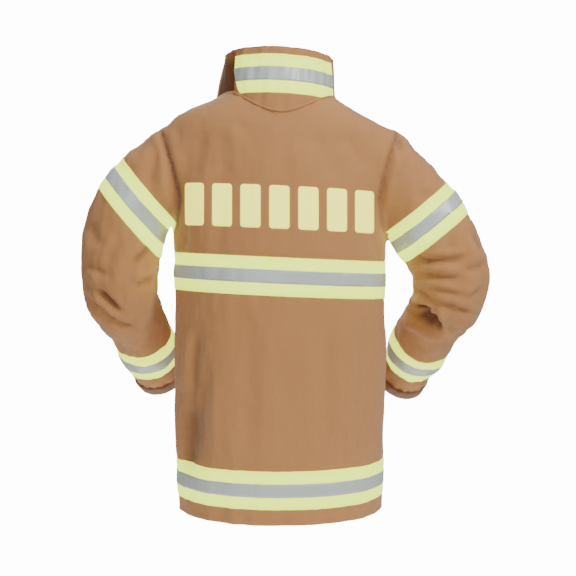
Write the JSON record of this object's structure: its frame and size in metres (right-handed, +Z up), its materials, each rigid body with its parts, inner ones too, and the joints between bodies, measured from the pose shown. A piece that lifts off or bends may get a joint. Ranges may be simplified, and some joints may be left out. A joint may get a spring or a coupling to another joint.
{
  "type": "turnout coat",
  "caption": "Firefighter's long-sleeved turnout coat, arms bent, with stand collar, zip and storm flap, bellows pockets and reflective trim.",
  "frame": {"origin": "centre of the neck opening, level with the middle of the back's collar seam", "axes": "+Z up; +X towards the wearer's left; +Y behind the wearer, so the front closure faces -Y"},
  "size_m": [0.8522, 0.4005, 0.966],
  "materials": {
    "canvas": "woven aramid canvas",
    "lime_tape": "fluorescent trim tape",
    "silver_stripe": "retroreflective",
    "pale_marking": "reflective cloth",
    "quilted_liner": "quilted",
    "barrier": "smooth film",
    "zip_tape": "woven",
    "brass_zip": "satin",
    "loop_strip": "looped pile",
    "knit": "ribbed knit",
    "cuff_binding": "suede",
    "collar_lining": "woven"
  },
  "bodies": {
    "coat_body": {"back_marking": "pale_marking", "back_panel": "canvas", "chest_trim": "lime_tape", "chest_trim_stripe": "silver_stripe", "collar_lining": "collar_lining", "collar_shell": "canvas", "collar_trim": "lime_tape", "collar_trim_stripe": "silver_stripe", "hang_loop": "canvas", "hem_trim": "lime_tape", "hem_trim_stripe": "silver_stripe", "left_front_panel": "canvas", "left_pocket": "canvas", "left_pocket_loop_strip": "loop_strip", "moisture_barrier": "barrier", "right_front_panel": "canvas", "right_pocket": "canvas", "right_pocket_loop_strip": "loop_strip", "storm_flap_loop_strip": "loop_strip", "thermal_liner": "quilted_liner", "zipper_box": "brass_zip", "zipper_tape_left": "zip_tape", "zipper_tape_right": "zip_tape", "zipper_teeth_left": "brass_zip", "zipper_teeth_right": "brass_zip"},
    "zip_slider": {"zipper_slider": "brass_zip"},
    "zip_pull": {"zipper_pull": "brass_zip"},
    "storm_flap": {"storm_flap": "canvas"},
    "throat_tab": {"throat_tab": "canvas"},
    "left_pocket_flap": {"left_pocket_flap": "canvas"},
    "right_pocket_flap": {"right_pocket_flap": "canvas"},
    "left_upper_sleeve": {"left_upper_sleeve": "canvas", "left_upper_sleeve_liner": "quilted_liner", "left_upper_trim": "lime_tape", "left_upper_trim_stripe": "silver_stripe"},
    "left_forearm": {"left_cuff_binding": "cuff_binding", "left_forearm_liner": "quilted_liner", "left_forearm_sleeve": "canvas", "left_forearm_trim": "lime_tape", "left_forearm_trim_stripe": "silver_stripe", "left_wristlet": "knit"},
    "right_upper_sleeve": {"right_upper_sleeve": "canvas", "right_upper_sleeve_liner": "quilted_liner", "right_upper_trim": "lime_tape", "right_upper_trim_stripe": "silver_stripe"},
    "right_forearm": {"right_cuff_binding": "cuff_binding", "right_forearm_liner": "quilted_liner", "right_forearm_sleeve": "canvas", "right_forearm_trim": "lime_tape", "right_forearm_trim_stripe": "silver_stripe", "right_wristlet": "knit"}
  },
  "joints": [
    {"name": "left_shoulder", "type": "hinge", "parent": "coat_body", "child": "left_upper_sleeve", "pos_m": [0.21, 0, -0.093], "axis": [0, -1, 0], "range_deg": [0, 50]},
    {"name": "left_elbow", "type": "hinge", "parent": "left_upper_sleeve", "child": "left_forearm", "pos_m": [0.337, 0.01, -0.345], "axis": [0.9018, -0.4044, 0.1524], "range_deg": [0, 40]},
    {"name": "right_shoulder", "type": "hinge", "parent": "coat_body", "child": "right_upper_sleeve", "pos_m": [-0.212, 0, -0.103], "axis": [0, 1, 0], "range_deg": [0, 50]},
    {"name": "right_elbow", "type": "hinge", "parent": "right_upper_sleeve", "child": "right_forearm", "pos_m": [-0.361, 0.01, -0.348], "axis": [0.7701, 0.5812, -0.2629], "range_deg": [0, 40]},
    {"name": "storm_flap_turn", "type": "hinge", "parent": "coat_body", "child": "storm_flap", "pos_m": [0.046, -0.1304, -0.39872], "axis": [0, 0.0728, 0.9973], "range_deg": [0, 90]},
    {"name": "zip_slide", "type": "slide", "parent": "coat_body", "child": "zip_slider", "axis": [0, -0.0728, -0.9973], "range_m": [0, 0.52]},
    {"name": "zip_pull_swing", "type": "hinge", "parent": "zip_slider", "child": "zip_pull", "pos_m": [0, -0.09865, 0.00604], "axis": [-1, 0, 0], "range_deg": [0, 110]},
    {"name": "throat_tab_turn", "type": "hinge", "parent": "coat_body", "child": "throat_tab", "pos_m": [0.054, -0.107, 0.084], "axis": [0, 0, 1], "range_deg": [0, 110]},
    {"name": "left_pocket_flap_lift", "type": "hinge", "parent": "coat_body", "child": "left_pocket_flap", "pos_m": [0.11006, -0.11765, -0.5075], "axis": [-0.9285, -0.3714, 0], "range_deg": [0, 90]},
    {"name": "right_pocket_flap_lift", "type": "hinge", "parent": "coat_body", "child": "right_pocket_flap", "pos_m": [-0.11006, -0.11765, -0.5075], "axis": [-0.9285, 0.3714, 0], "range_deg": [0, 90]}
  ]
}
